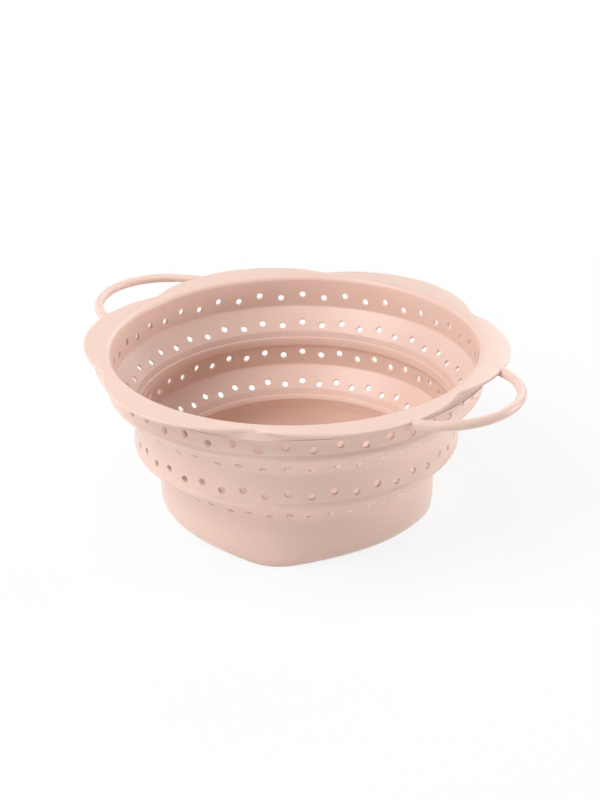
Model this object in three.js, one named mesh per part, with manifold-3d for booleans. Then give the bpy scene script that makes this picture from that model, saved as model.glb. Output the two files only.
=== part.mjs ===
import * as THREE from 'three';
import { mergeVertices } from 'three/addons/utils/BufferGeometryUtils.js';
import Module from 'manifold-3d';

// Collapsible silicone colander, in millimetres, +Z up.
// It stands on z = 0 with its axis on Z and its two loop handles along X.
// Three stiff rings are joined by two conical folds that turn inside out, so that
// the rings nest and the colander goes flat. A steel hoop stiffens the rim, and a
// steel wire stiffens each handle.

// Clearance between pieces that touch
const gap = 0.3;

// Walls
const wall = 2.1;
const foldWall = 1.6;

// Radii: inside of the upper wall, and the two steps inward to the rings below
const openingRadius = 107.3;
const upperStep = 13.2;
const lowerStep = 13.3;

// Heights of the stages, from the table up
const baseHeight = 31.7;
const lowerFoldRise = 15.5;
const middleWallHeight = 20.4;
const upperFoldRise = 15;
const upperWallHeight = 18.2;

// Rim: a rounded inner edge, and a nearly level flange that ends in lobes
const lobeCount = 6;
const lobeFullness = 1.3;
const flangeWidth = 17.7;
const flangeRise = 3;
const flangeSag = 0.7;
const flangeThickness = 2;
const flangeEdgeRound = 0.6;
const rimEdgeRound = 2.9;
const rimEdgeDrop = 0.4;
const rimBeadWidth = 9;
const rimBeadDepth = 3;
const rimBeadRound = 0.8;
const rimRootDepth = 6.6;
const notchOverhang = 0.3;

// Steel hoop in the groove under the rim
const hoopDiameter = 2.8;
const hoopInset = 5;
const hoopCover = 1.6;

// Round beads outside, at the foot of the two upper rings
const beadProud = 0.9;
const beadAboveSeat = 2.5;
const beadBelowSeat = 1.8;
const beadRound = 0.6;

// Thickened lips inside, at the head of the two lower rings
const lipProud = 1.2;
const lipRound = 1;
const middleLipHeight = 7;
const baseLipHeight = 4;

// Drain holes: zigzag rows round each wall and fold
const columnCount = 48;
const holeDiameter = 4;
const zigzag = 1.1;
const rowDropShare = 0.64;

// Base: a round wall that rounds over to a foot shaped as a rounded square
const footHalfWidth = 66.5;
const footSquareness = 4.5;
const footTurn = THREE.MathUtils.degToRad(-15.9);
const outerRoundRise = 13;
const innerRoundRise = 15;
const floorThickness = 2.4;
const footHeight = 1.6;
const footWidth = 6;
const footGapWidth = 12;
const floorRowPitch = 16;
const floorRows = 3;
const floorRowHoles = 6;

// Handles: a soft grip round a steel wire, bent in an arc
const handleRadius = 43.2;
const handleSetBack = 3.5;
const handleSlope = 0.06;
const handleApexLift = 2;
const gripDiameter = 5.5;
const wireDiameter = 2.2;
const wireSetOff = 1.2;
const gripStepLength = 12;
const gripStepDepth = 0.9;
const socketWidth = 7;
const socketDepth = 3;
const socketSetIn = 0.8;

// Fineness of the round forms
const ringSides = 48;
const rimSides = 60;
const holeSides = 6;
const gripSides = 10;
const wireSides = 6;
const hoopSides = 6;
const handleSteps = 18;
const roundSteps = 3;
const lipSteps = 2;
const footSteps = 4;

// Worked out from the sizes above
const cutOverrun = wall;
const middleRadius = openingRadius - upperStep;
const baseRadius = middleRadius - lowerStep;
const lowerSeat = baseHeight + gap + lowerFoldRise + gap;
const middleTop = lowerSeat + middleWallHeight;
const upperSeat = middleTop + gap + upperFoldRise + gap;
const rimHeight = upperSeat + upperWallHeight;
const lobeRadius = openingRadius + flangeWidth;
const rimBeadRadius = openingRadius + rimBeadWidth;
const handleCentre = openingRadius - handleSetBack;
const handleReach = handleCentre + handleRadius;

const wasm = await Module();
wasm.setup();

const silicone = { color: 0xf0cfc2, roughness: 0.5, metalness: 0 };
const steel = { color: 0xb9bcc0, roughness: 0.35, metalness: 1 };

// Solids and meshes

function toSolid(geometry) {
  const bare = geometry.clone();
  bare.deleteAttribute('normal');
  bare.deleteAttribute('uv');
  const merged = mergeVertices(bare);
  const index = merged.index.array;
  const triangles = [];
  for (let i = 0; i < index.length; i += 3) {
    const [a, b, c] = index.slice(i, i + 3);
    if (a !== b && b !== c && c !== a) triangles.push(a, b, c);
  }
  const vertProperties = new Float32Array(merged.attributes.position.array);
  const triVerts = new Uint32Array(triangles);
  return new wasm.Manifold(new wasm.Mesh({ numProp: 3, vertProperties, triVerts }));
}

function toGeometry(solid) {
  const mesh = solid.getMesh();
  const geometry = new THREE.BufferGeometry();
  geometry.setAttribute('position', new THREE.BufferAttribute(mesh.vertProperties, 3));
  geometry.setIndex(new THREE.BufferAttribute(mesh.triVerts, 1));
  geometry.computeVertexNormals();
  return geometry;
}

function piece(name, solid, finish) {
  const mesh = new THREE.Mesh(toGeometry(solid), new THREE.MeshStandardMaterial(finish));
  mesh.name = name;
  return mesh;
}

// An outline of [radius, height] points, turned round Z. It runs anticlockwise, with
// radius to the right and height upwards, and closes on itself unless it starts and
// ends on the axis. It is given as a function of the angle, so it can change its sizes
// on the way round. Unless a phase is given, its sides face the columns of holes.
function turned(outlineAt, sides, phase = Math.PI / sides) {
  const closed = (outline) => (outline[0][0] > 0 ? [...outline, outline[0]] : outline);
  const points = closed(outlineAt(phase)).map(([r, z]) => new THREE.Vector2(r, z));
  const geometry = new THREE.LatheGeometry(points, sides);
  for (let side = 0; side <= sides; side += 1) {
    const angle = phase + (2 * Math.PI * side) / sides;
    const place = ([r, z], i) => {
      const vertex = side * points.length + i;
      geometry.attributes.position.setXYZ(vertex, r * Math.cos(angle), r * Math.sin(angle), z);
    };
    closed(outlineAt(angle)).forEach(place);
  }
  return geometry;
}

// Points of a quarter round from one place to another. It leaves the first along
// the radius if flatFirst is true, and along the height if it is not.
function quarterRound([r0, z0], [r1, z1], flatFirst, steps = roundSteps) {
  const points = [];
  for (let i = 0; i <= steps; i += 1) {
    const turn = (Math.PI / 2) * (i / steps);
    const early = Math.sin(turn);
    const late = 1 - Math.cos(turn);
    const alongRadius = flatFirst ? early : late;
    const alongHeight = flatFirst ? late : early;
    points.push([r0 + (r1 - r0) * alongRadius, z0 + (z1 - z0) * alongHeight]);
  }
  return points;
}

function mix(a, b, share) {
  return a + (b - a) * share;
}

// Rows of holes

// One row of holes through a wall that runs from its head to its foot, both given
// as [radius, height] on the middle of the wall. Every second hole sits higher.
function holeRow(head, foot) {
  const along = new THREE.Vector2(foot[0] - head[0], foot[1] - head[1]);
  const length = along.length();
  along.normalize();
  const lean = Math.atan2(along.x, -along.y);
  const depth = 2 * (wall + cutOverrun);
  const drill = new THREE.CylinderGeometry(holeDiameter / 2, holeDiameter / 2, depth, holeSides);
  const columns = [];
  for (let column = 0; column < columnCount; column += 1) {
    const shift = column % 2 === 1 ? -zigzag : zigzag;
    const reach = rowDropShare * length + shift;
    const hole = drill.clone();
    hole.rotateY(Math.PI / holeSides);
    hole.rotateZ(Math.PI / 2);
    hole.rotateY(-lean);
    hole.translate(head[0] + along.x * reach, 0, head[1] + along.y * reach);
    hole.rotateZ((2 * Math.PI * column) / columnCount);
    columns.push(toSolid(hole));
  }
  return wasm.Manifold.union(columns);
}

// Folds

// The outline of a conical fold from the wall above to the wall below, and its
// middle line. Its ends cover the ends of both walls.
function foldShape(upperRadius, lowerRadius, seat, rise) {
  const top = upperRadius + wall / 2;
  const bottom = lowerRadius + wall / 2;
  const half = (foldWall * Math.hypot(top - bottom, rise)) / rise / 2;
  const head = [top, seat - gap];
  const foot = [bottom, seat - gap - rise];
  const outline = [
    [foot[0] - half, foot[1]],
    [foot[0] + half, foot[1]],
    [head[0] + half, head[1]],
    [head[0] - half, head[1]],
  ];
  return { outline, head, foot, half };
}

const upperFoldShape = foldShape(openingRadius, middleRadius, upperSeat, upperFoldRise);
const lowerFoldShape = foldShape(middleRadius, baseRadius, lowerSeat, lowerFoldRise);

function fold(shape) {
  const body = toSolid(turned(() => shape.outline, ringSides));
  return body.subtract(holeRow(shape.head, shape.foot));
}

// The foot of a ring that holds a fold: the bead outside, and a ledge that follows
// the fold's underside back up to the seat.
function beadFoot(innerRadius, seat, shape) {
  const outer = innerRadius + wall;
  const proud = outer + beadProud;
  const low = seat - beadBelowSeat;
  const slope = (shape.head[0] - shape.foot[0]) / (shape.head[1] - shape.foot[1]);
  const skin = shape.head[0] + shape.half + 2 * gap;
  return [
    [innerRadius, seat],
    [skin, seat],
    [skin - slope * beadBelowSeat, low],
    [proud - beadRound, low],
    [proud, low + beadRound],
    [proud, seat + beadAboveSeat - beadRound],
    [outer, seat + beadAboveSeat],
  ];
}

// Rim and upper wall

function flangeTop(radius) {
  const share = (lobeRadius - radius) / flangeWidth;
  return rimHeight + flangeRise - flangeSag * share * share;
}

// How far the lobes stand out at an angle, from 0 in a notch to 1 on a lobe
function lobeShare(angle) {
  return Math.abs(Math.sin((lobeCount * angle) / 2)) ** lobeFullness;
}

function lobeEdge(angle) {
  return mix(rimBeadRadius + notchOverhang, lobeRadius, lobeShare(angle));
}

// Middle of the hoop's section, a cover below the top of the rim
const hoopRadius = openingRadius + hoopInset;
const hoopHeight = flangeTop(hoopRadius - hoopDiameter / 2) - hoopCover - gap - hoopDiameter / 2;

function rimSection(angle) {
  const outer = openingRadius + wall;
  const edgeEnd = openingRadius + rimEdgeRound;
  const innerEdge = quarterRound(
    [openingRadius, rimHeight - rimEdgeDrop],
    [edgeEnd, flangeTop(edgeEnd)],
    false,
  );
  const halfway = (edgeEnd + rimBeadRadius) / 2;
  const tip = lobeEdge(angle);
  const tipRoot = mix(tip, rimBeadRadius, flangeEdgeRound / (lobeRadius - rimBeadRadius));
  const tipTop = flangeTop(tip);
  const beadTop = flangeTop(rimBeadRadius);
  const beadLow = rimHeight - rimBeadDepth;
  const rootLow = rimHeight - rimRootDepth;
  const grooveIn = hoopRadius - hoopDiameter / 2 - gap;
  const grooveOut = hoopRadius + hoopDiameter / 2 + gap;
  const grooveTop = hoopHeight + hoopDiameter / 2 + gap;
  const underside = (r) => mix(rootLow + wall, beadLow, (r - outer) / (rimBeadRadius - outer));
  const edge = [
    [halfway, flangeTop(halfway)],
    [rimBeadRadius, beadTop],
    [tipRoot, tipTop],
    [tip, tipTop - flangeEdgeRound],
    [tip, tipTop - flangeThickness + flangeEdgeRound],
    [tipRoot, tipTop - flangeThickness],
    [rimBeadRadius, beadTop - flangeThickness],
    [rimBeadRadius, beadLow + rimBeadRound],
    [rimBeadRadius - rimBeadRound, beadLow],
    [grooveOut, underside(grooveOut)],
    [grooveOut, grooveTop],
    [grooveIn, grooveTop],
    [grooveIn, underside(grooveIn)],
    [outer, rootLow],
  ];
  const foot = beadFoot(openingRadius, upperSeat, upperFoldShape);
  return [...foot, ...edge.reverse(), ...innerEdge.reverse()];
}

// A flat plate with the flange's outline, set out from it by an offset
function lobePlate(offset, low, high) {
  const shape = new THREE.Shape();
  for (let side = 0; side < rimSides; side += 1) {
    const angle = (2 * Math.PI * side) / rimSides;
    const radius = lobeEdge(angle) + offset;
    const point = [radius * Math.cos(angle), radius * Math.sin(angle)];
    if (side === 0) shape.moveTo(...point);
    else shape.lineTo(...point);
  }
  const plate = new THREE.ExtrudeGeometry(shape, { depth: high - low, bevelEnabled: false });
  return toSolid(plate.translate(0, 0, low));
}

// Handles

// The wire ends just short of the hoop's groove, in the rim's outer bead
const legRadius = hoopRadius + hoopDiameter / 2 + wireSetOff;
const legReach = Math.sqrt(legRadius ** 2 - handleRadius ** 2);
const legTurn = Math.acos((legReach - handleCentre) / handleRadius);

function handleHeight(x) {
  return rimHeight + handleApexLift - handleSlope * (handleReach - x);
}

class HandleArc extends THREE.Curve {
  constructor(turn) {
    super();
    this.turn = turn;
  }

  getPoint(t, target = new THREE.Vector3()) {
    const angle = mix(-this.turn, this.turn, t);
    const x = handleCentre + handleRadius * Math.cos(angle);
    return target.set(x, handleRadius * Math.sin(angle), handleHeight(x));
  }
}

// Corners of a round section
function ringPoints(diameter, sides) {
  return Array.from({ length: sides }, (_, side) => {
    const angle = (2 * Math.PI * side) / sides;
    return [(diameter / 2) * Math.cos(angle), (diameter / 2) * Math.sin(angle)];
  });
}

function circle(diameter, sides, Kind = THREE.Shape) {
  return new Kind(ringPoints(diameter, sides).map(([x, y]) => new THREE.Vector2(x, y)));
}

function rod(section, turn) {
  const extrudePath = new HandleArc(turn);
  return toSolid(new THREE.ExtrudeGeometry(section, { steps: handleSteps, extrudePath }));
}

const boreDiameter = wireDiameter + 2 * gap;

function handleWire() {
  return rod(circle(wireDiameter, wireSides), legTurn);
}

// The bore goes on past the wire's end by a clearance
function handleBore() {
  return rod(circle(boreDiameter, holeSides), legTurn + gap / handleRadius);
}

function handleGrip() {
  const section = circle(gripDiameter, gripSides);
  section.holes.push(circle(boreDiameter, holeSides, THREE.Path));
  const root = handleHeight(legReach) - gripDiameter;
  const step = handleHeight(lobeRadius) - gripDiameter / 2 + gripStepDepth;
  return rod(section, legTurn)
    .subtract(lobePlate(gap, root, rimHeight + flangeRise + gripDiameter))
    .subtract(lobePlate(gripStepLength, root, step));
}

// The blocks under the flange that hold the ends of the wires
function handleSockets() {
  const low = rimHeight - socketDepth;
  const high = flangeTop(rimBeadRadius) - flangeThickness / 2;
  const length = lobeRadius - legReach;
  const trim = lobePlate(-socketSetIn, low - cutOverrun, high + cutOverrun);
  const blocks = [-1, 1].map((side) => {
    const block = new THREE.BoxGeometry(length, socketWidth, high - low);
    block.translate(legReach + length / 2, side * handleRadius, (low + high) / 2);
    return toSolid(block);
  });
  return wasm.Manifold.union(blocks).intersect(trim);
}

function bothSides(solid) {
  return solid.add(solid.rotate([0, 0, 180]));
}

function rimRing() {
  const body = toSolid(turned(rimSection, rimSides, 0));
  const middle = openingRadius + wall / 2;
  const holes = holeRow([middle, rimHeight], [middle, upperSeat]);
  return body
    .add(bothSides(handleSockets()))
    .subtract(bothSides(handleBore()))
    .subtract(holes);
}

function rimHoop() {
  const corners = ringPoints(hoopDiameter, hoopSides);
  const section = corners.map(([x, y]) => [hoopRadius + x, hoopHeight + y]);
  return toSolid(turned(() => section, rimSides, 0));
}

// Middle ring

// The head of a ring under a fold: a lip that stands proud inside, rounded on top
function lipHead(innerRadius, top, lipHeight) {
  const lip = innerRadius - lipProud;
  return [
    [innerRadius + wall, top],
    ...quarterRound([lip + lipRound, top], [lip, top - lipRound], true, lipSteps),
    [lip, top - lipHeight],
    [innerRadius, top - lipHeight - lipProud],
  ];
}

function middleRing() {
  const outline = [
    ...beadFoot(middleRadius, lowerSeat, lowerFoldShape),
    ...lipHead(middleRadius, middleTop, middleLipHeight),
  ];
  const middle = middleRadius + wall / 2;
  const holes = holeRow([middle, middleTop], [middle, lowerSeat]);
  return toSolid(turned(() => outline, ringSides)).subtract(holes);
}

// Base

// Radius of a rounded square at an angle, from half its width
function squareRadius(halfWidth, angle) {
  const across = Math.abs(Math.cos(angle - footTurn)) ** footSquareness;
  const along = Math.abs(Math.sin(angle - footTurn)) ** footSquareness;
  return halfWidth * (across + along) ** (-1 / footSquareness);
}

function baseSection(angle) {
  const outer = baseRadius + wall;
  const foot = squareRadius(footHalfWidth, angle);
  const recess = squareRadius(footHalfWidth - footWidth, angle);
  const ceiling = squareRadius(footHalfWidth - footWidth - footHeight, angle);
  const inside = squareRadius(footHalfWidth - wall, angle);
  const floorTop = footHeight + floorThickness;
  return [
    [0, footHeight],
    [ceiling, footHeight],
    [recess, 0],
    ...quarterRound([foot, 0], [outer, outerRoundRise], true, footSteps),
    ...lipHead(baseRadius, baseHeight, baseLipHeight),
    ...quarterRound([baseRadius, floorTop + innerRoundRise], [inside, floorTop], false, footSteps),
    [0, floorTop],
  ];
}

// Rings of drain holes through the floor, and a gap in the foot on each flat side
function baseCuts() {
  const cuts = [];
  const deep = 2 * (footHeight + floorThickness);
  for (let row = 0; row <= floorRows; row += 1) {
    const count = Math.max(1, floorRowHoles * row);
    for (let i = 0; i < count; i += 1) {
      const drill = new THREE.CylinderGeometry(holeDiameter / 2, holeDiameter / 2, deep, holeSides);
      drill.rotateX(Math.PI / 2);
      drill.translate(row * floorRowPitch, 0, footHeight);
      drill.rotateZ(footTurn + (2 * Math.PI * i) / count);
      cuts.push(toSolid(drill));
    }
  }
  const start = footHalfWidth - footWidth - footHeight - cutOverrun;
  const length = baseRadius + wall - start;
  for (let side = 0; side < 4; side += 1) {
    const slot = new THREE.BoxGeometry(length, footGapWidth, 2 * footHeight);
    slot.translate(start + length / 2, 0, 0);
    slot.rotateZ(footTurn + (Math.PI / 2) * side);
    cuts.push(toSolid(slot));
  }
  return wasm.Manifold.union(cuts);
}

function baseCup() {
  return toSolid(turned(baseSection, ringSides)).subtract(baseCuts());
}

// The whole colander

const colander = new THREE.Group();
colander.add(piece('base_cup', baseCup(), silicone));
colander.add(piece('lower_fold', fold(lowerFoldShape), silicone));
colander.add(piece('middle_ring', middleRing(), silicone));
colander.add(piece('upper_fold', fold(upperFoldShape), silicone));
colander.add(piece('rim_ring', rimRing(), silicone));
colander.add(piece('rim_hoop', rimHoop(), steel));

const sides = { right: 0, left: Math.PI };
for (const [side, turn] of Object.entries(sides)) {
  const handle = new THREE.Group();
  handle.rotation.z = turn;
  handle.add(piece(`handle_wire_${side}`, handleWire(), steel));
  handle.add(piece(`handle_grip_${side}`, handleGrip(), silicone));
  colander.add(handle);
}

export default colander;
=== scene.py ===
"""Collapsible silicone colander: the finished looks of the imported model.

The whole of it is one soft moulding with a steel hoop and two wires inside. Each ring and
fold is drawn here as one sector, and a Geometry Nodes tree repeats the sector round the
axis. Sizes are in millimetres until a mesh is made. Radii and heights are r and z.
"""

import math

import bmesh
import bpy
from mathutils import Matrix, Vector
from mathutils.geometry import delaunay_2d_cdt


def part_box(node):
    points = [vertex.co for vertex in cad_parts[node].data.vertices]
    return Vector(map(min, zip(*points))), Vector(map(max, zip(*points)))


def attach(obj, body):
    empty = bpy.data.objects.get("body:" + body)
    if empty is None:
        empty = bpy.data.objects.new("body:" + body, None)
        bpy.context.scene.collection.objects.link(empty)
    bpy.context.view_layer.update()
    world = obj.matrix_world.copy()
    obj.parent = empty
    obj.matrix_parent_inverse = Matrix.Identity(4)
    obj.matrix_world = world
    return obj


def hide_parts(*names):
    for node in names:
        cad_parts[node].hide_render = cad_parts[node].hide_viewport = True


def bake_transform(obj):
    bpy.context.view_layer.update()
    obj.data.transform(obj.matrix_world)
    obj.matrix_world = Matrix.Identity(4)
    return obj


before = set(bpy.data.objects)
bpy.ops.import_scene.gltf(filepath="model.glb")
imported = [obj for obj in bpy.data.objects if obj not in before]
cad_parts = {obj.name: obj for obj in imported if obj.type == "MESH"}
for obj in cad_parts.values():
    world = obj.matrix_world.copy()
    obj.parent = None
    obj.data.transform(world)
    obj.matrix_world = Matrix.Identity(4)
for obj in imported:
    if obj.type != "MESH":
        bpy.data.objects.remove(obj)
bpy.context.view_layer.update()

MM = 0.001


def span(node):
    """Lowest and highest corner of a CAD node, in millimetres."""
    low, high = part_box(node)
    return low / MM, high / MM


# Places taken from the frame
_, base_high = span("base_cup")
lower_fold_low, lower_fold_high = span("lower_fold")
middle_low, middle_high = span("middle_ring")
upper_fold_low, upper_fold_high = span("upper_fold")
rim_low, rim_high = span("rim_ring")
hoop_low, hoop_high = span("rim_hoop")

# Walls, and the steps inward from ring to ring
WALL = 2.1
FOLD_WALL = 1.6
FLANGE_WIDTH = 17.7
UPPER_STEP = 13.2
LOWER_STEP = 13.3

# Rim and flange
LOBES = 6
LOBE_FULLNESS = 0.95
FLANGE_RISE = 3
FLANGE_SAG = 0.7
FLANGE_THICKNESS = 2
EDGE_ROUND = 0.6
INNER_EDGE_ROUND = 3
CROWN_SET_OUT = 3.4
RIM_BEAD_WIDTH = 9
RIM_BEAD_DEPTH = 3
RIM_BEAD_ROUND = 0.4
RIM_ROOT_DEPTH = 6.6
RIM_ROOT_ROUND = 2
UNDERSIDE_ROUND = 1.3
HOLLOW_SHARE = 0.7
GROOVE_ROUND = 0.4
GROOVE_CLEARANCE = 0.3

# Notches between the lobes. The bead's face stands up to a knee just above the hoop's
# groove, and from there it leans in to the edge. EDGE_FADE is how far the edge stands out
# where a lobe's thin lip has taken over.
NOTCH_SET_IN = 1.3
NOTCH_KNEE = 0.15
NOTCH_EDGE_ROUND = 1.8
EDGE_FADE = 2.3

# Beads outside, at the foot of the two upper rings
BEAD_PROUD = 0.9
BEAD_ABOVE = 2.5
BEAD_BELOW = 1.8
BEAD_ROUND = 0.85
BEAD_SLOPE = 2
SKIN_CLEARANCE = 0.05

# Creases and hinges between fold and ring
CREASE_ROUND = 2.2
JOIN_ROUND = 5
HINGE_ROUND = 2.5

# Lips inside, at the head of the two lower rings: corners from the ledge down to the foot
# on the wall, as distance out from the wall's inside and height from the top of the ring
MIDDLE_LIP = ((0.5, -1.45), (-0.05, -1.65), (-0.6, -3.6), (-0.85, -6.3), (0, -8.7))
BASE_LIP = ((0.75, -0.25), (0.25, -0.45), (-0.45, -1.6), (-1, -2.9), (0, -10))
LIP_ROUNDS = (0.25, 0.4, 4, 0.3, 2.5)

# How far up from the ring's top the fold stays steep inside
MIDDLE_BAND = 2.4
BASE_BAND = 3.3

# Drain holes
COLUMNS = 48
HOLE_RADIUS = 2
HOLE_ROUND = 0.35
HOLE_SIDES = 24
ZIGZAG = 1.1
ROW_DROP = 0.64
CELL_REACH = 3.8
RIM_CELL_BELOW = 3.7
# Way from a hole's middle to its cell's lower left corner, in half turns
LOWER_LEFT = -0.75

# Base
FOOT_HALF_WIDTH = 66.5
FOOT_SIDES = 4
FOOT_SQUARENESS = 4.5
FOOT_TURN = math.radians(-15.9)
OUTER_ROUND_RISE = 13
INNER_ROUND_RISE = 15
FLOOR_THICKNESS = 2.4
FOOT_HEIGHT = 1.6
FOOT_WIDTH = 6
FOOT_GAP = 12
GAP_LIFT = 0.97
FOOT_SUPPORT = 0.4
FLOOR_RADIUS = 54
FLOOR_PITCH = 16
FLOOR_ROWS = 3
FLOOR_ROW_HOLES = 6

# Handles
HANDLE_RADIUS = 43.2
HANDLE_SET_BACK = 3.5
HANDLE_SLOPE = 0.06
HANDLE_LIFT = 2
GRIP_RADIUS = 2.75

# The legs run on over the flange, a little proud of it. Further in, what would come out
# below is lifted into the flange's thickness.
GRIP_SUNK = 12
GRIP_SINKS_FROM = 3
GRIP_SINKS_OVER = 3
GRIP_FLOOR_SHARE = 0.8
ROOT_PROUD = 0.3
ROOT_LENGTH = 9
ROOT_SQUARENESS = 3.4

# The underside of each leg is a strip, set back from the rest along a fine line. Where the
# strip ends there is a small slot on both sides.
LAP_LENGTH = 13
LAP_SET_BACK = 0.3
LAP_LINE = math.radians(24)
SLOT_LENGTH = 2
SLOT_DEPTH = 0.9

# Blocks under the flange that hold the ends of the wires
SOCKET_WIDTH = 7
SOCKET_DEPTH = 1.8
SOCKET_SET_IN = 1.6
SOCKET_SUNK = 1
SOCKET_ROUND = 0.8

# Fineness
CELL_SIDES = HOLE_SIDES // 4
CORNER_STEPS = 3
BASE_SIDES = 2 * CELL_SIDES * COLUMNS
ROUND_STEPS = 8
JOIN_TO_HOLES_STEPS = 2
HOLES_TO_SEAM_STEPS = 5
CREASE_TO_HOLES_STEPS = 3
NOTCH_FACE_STEPS = 4
FLANGE_STEPS = 6
GRIP_SIDES = 24
GRIP_STEPS = 44
LEG_STEPS = 8
LAP_PARTS = 6
HOOP_WIRE_SIDES = 12
HANDLE_BISECTIONS = 40
HANDLE_TURN_LIMIT = 0.6 * math.pi
HANDLE_TURN_STEP = 0.001
SUPPORT = 0.18
SUPPORT_SHARE = 0.3
SMOOTH_UP_TO = math.radians(42)
MERGE_DISTANCE = 0.004 * MM

# The output of Blender's flat triangulation that keeps to the inside of the outline
TRIANGLES_INSIDE = 1
FLAT_TOLERANCE = 1e-6

# The photograph's camera. The focal length is in pixels of the image.
VIEW_AZIMUTH = math.radians(40.2)
VIEW_ELEVATION = math.radians(25.72)
VIEW_ROLL = math.radians(-0.83)
VIEW_DISTANCE = 846.8
VIEW_TARGET = Vector((1.85, 1.56, 66.2))
FOCAL_PIXELS = 1419.9
IMAGE_HEIGHT = 800
SENSOR_WIDTH = 36
CLIP_START = 0.01

# Studio, in metres. The card shows its shadow within SHADOW_REACH, and by SHADOW_END it has
# burnt out to white. HORIZON_TOP is a height on a sphere of radius 1.
WHITE = (1, 1, 1, 1)
CARD_RADIUS = 6
CARD_SIDES = 64
SHADOW_REACH = 0.18
SHADOW_END = 0.55
SHADOW_COVER = 0.86
LAMP_DISTANCE = 1.4
HORIZON_LIGHT = 2.8
HORIZON_TOP = 0.3

# Worked out from the sizes above
lobe_radius = rim_high.y
opening_radius = lobe_radius - FLANGE_WIDTH
middle_radius = opening_radius - UPPER_STEP
base_radius = middle_radius - LOWER_STEP
rim_height = rim_high.z - FLANGE_RISE
rim_bead_radius = opening_radius + RIM_BEAD_WIDTH
hoop_radius = (hoop_high.y + rim_bead_radius - 2 * GROOVE_CLEARANCE) / 2
groove_top = hoop_high.z + GROOVE_CLEARANCE
upper_seat = rim_low.z + BEAD_BELOW
lower_seat = middle_low.z + BEAD_BELOW
column_turn = 2 * math.pi / COLUMNS


def mix(a, b, share):
    return a + (b - a) * share


def mix_points(a, b, share):
    return tuple(mix(x, y, share) for x, y in zip(a, b))


def smooth(share):
    share = min(max(share, 0), 1)
    return share * share * (3 - 2 * share)


def steps_between(a, b, count):
    """Points that divide a line into equal steps, without its ends."""
    return [mix_points(a, b, i / count) for i in range(1, count)]


# Outlines


def round_corner(before, corner, after, radius):
    """Points of a rounded corner, with one more close by on each side of it.

    Those two keep the shading of the flat sides flat."""
    corner = Vector(corner)
    back, ahead = Vector(before) - corner, Vector(after) - corner
    half = back.angle(ahead) / 2
    reach = radius / math.tan(half)
    sides = [side.normalized() for side in (back, ahead)]
    start, end = (corner + side * reach for side in sides)
    centre = corner + (sides[0] + sides[1]).normalized() * (radius / math.sin(half))
    first = start - centre
    last = end - centre
    turn = math.atan2(first.x * last.y - first.y * last.x, first.dot(last))
    spare = [min(SUPPORT, SUPPORT_SHARE * (side.length - reach)) for side in (back, ahead)]
    arc = [
        tuple(centre + Matrix.Rotation(turn * i / CORNER_STEPS, 2) @ first)
        for i in range(CORNER_STEPS + 1)
    ]
    return [tuple(start + sides[0] * spare[0]), *arc, tuple(end + sides[1] * spare[1])]


def trace(marks):
    """The points of an outline, and the places in it where its runs start.

    A mark is (r, z) for a plain point, (r, z, radius) for a rounded corner, or a list of
    points, which is a run that holes are cut in."""
    firsts = [mark[0] if isinstance(mark, list) else mark[:2] for mark in marks]
    lasts = [mark[-1] if isinstance(mark, list) else mark[:2] for mark in marks]
    points, starts = [], []
    for i, mark in enumerate(marks):
        if isinstance(mark, list):
            starts.append(len(points))
            points += mark
        elif len(mark) == 2:
            points.append(mark)
        else:
            after = firsts[(i + 1) % len(marks)]
            points += round_corner(lasts[i - 1], mark[:2], after, mark[2])
    return points, starts


def arc_points(centre, radii, start, end, steps):
    """Points on an ellipse about a centre, with its angles in radians."""
    angles = [mix(start, end, i / steps) for i in range(steps + 1)]
    return [
        (centre[0] + radii[0] * math.cos(a), centre[1] + radii[1] * math.sin(a)) for a in angles
    ]


def polar(r, z, angle):
    return (r * math.cos(angle), r * math.sin(angle), z)


# Rows of drain holes


class HoleRow:
    """A zigzag row of holes through a wall, given by the ends of the wall's middle line."""

    def __init__(self, head, foot, thickness, below=CELL_REACH, above=CELL_REACH):
        head, foot = Vector(head), Vector(foot)
        self.middle = head.lerp(foot, ROW_DROP)
        self.up = (head - foot).normalized()
        self.out = Vector((self.up.y, -self.up.x))
        self.half = thickness / 2
        self.below, self.above = below, above

    def place(self, height, depth):
        """A point by its distance up the wall and out from its middle line."""
        return tuple(self.middle + self.up * height + self.out * depth)

    def run(self, outside):
        """Points up the outside of the wall, or down its inside, beside the holes."""
        ends = (-self.below, self.above) if outside else (self.above, -self.below)
        depth = self.half if outside else -self.half
        return [self.place(mix(*ends, i / CELL_SIDES), depth) for i in range(CELL_SIDES + 1)]

    def rings(self):
        """Radius and depth of the rings of points that form a hole, from outside in."""
        part = HOLE_ROUND * (1 - math.sqrt(0.5))
        half = self.half
        front = [
            (HOLE_RADIUS + HOLE_ROUND + SUPPORT, half),
            (HOLE_RADIUS + HOLE_ROUND, half),
            (HOLE_RADIUS + part, half - part),
            (HOLE_RADIUS, half - HOLE_ROUND),
        ]
        return front + [(radius, -depth) for radius, depth in reversed(front)]


def ring_turns():
    """Angles of a hole's points. The first faces the cell's lower left corner."""
    return [math.pi * (2 * i / HOLE_SIDES + LOWER_LEFT) for i in range(HOLE_SIDES)]


def band(first, second):
    """Faces between two closed loops of vertices."""
    count = len(first)
    pairs = [(i, (i + 1) % count) for i in range(count)]
    return [(first[i], first[j], second[j], second[i]) for i, j in pairs]


def cell_border(side, start, step, count):
    """Vertices round a hole's cell, from its lower left corner anticlockwise."""
    n = CELL_SIDES
    corners = (
        [(i, 0) for i in range(n)]
        + [(n, i) for i in range(n)]
        + [(n - i, n) for i in range(n)]
        + [(0, n - i) for i in range(n)]
    )
    return [(side + across) * count + start + step * up for across, up in corners]


# Meshes


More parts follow.
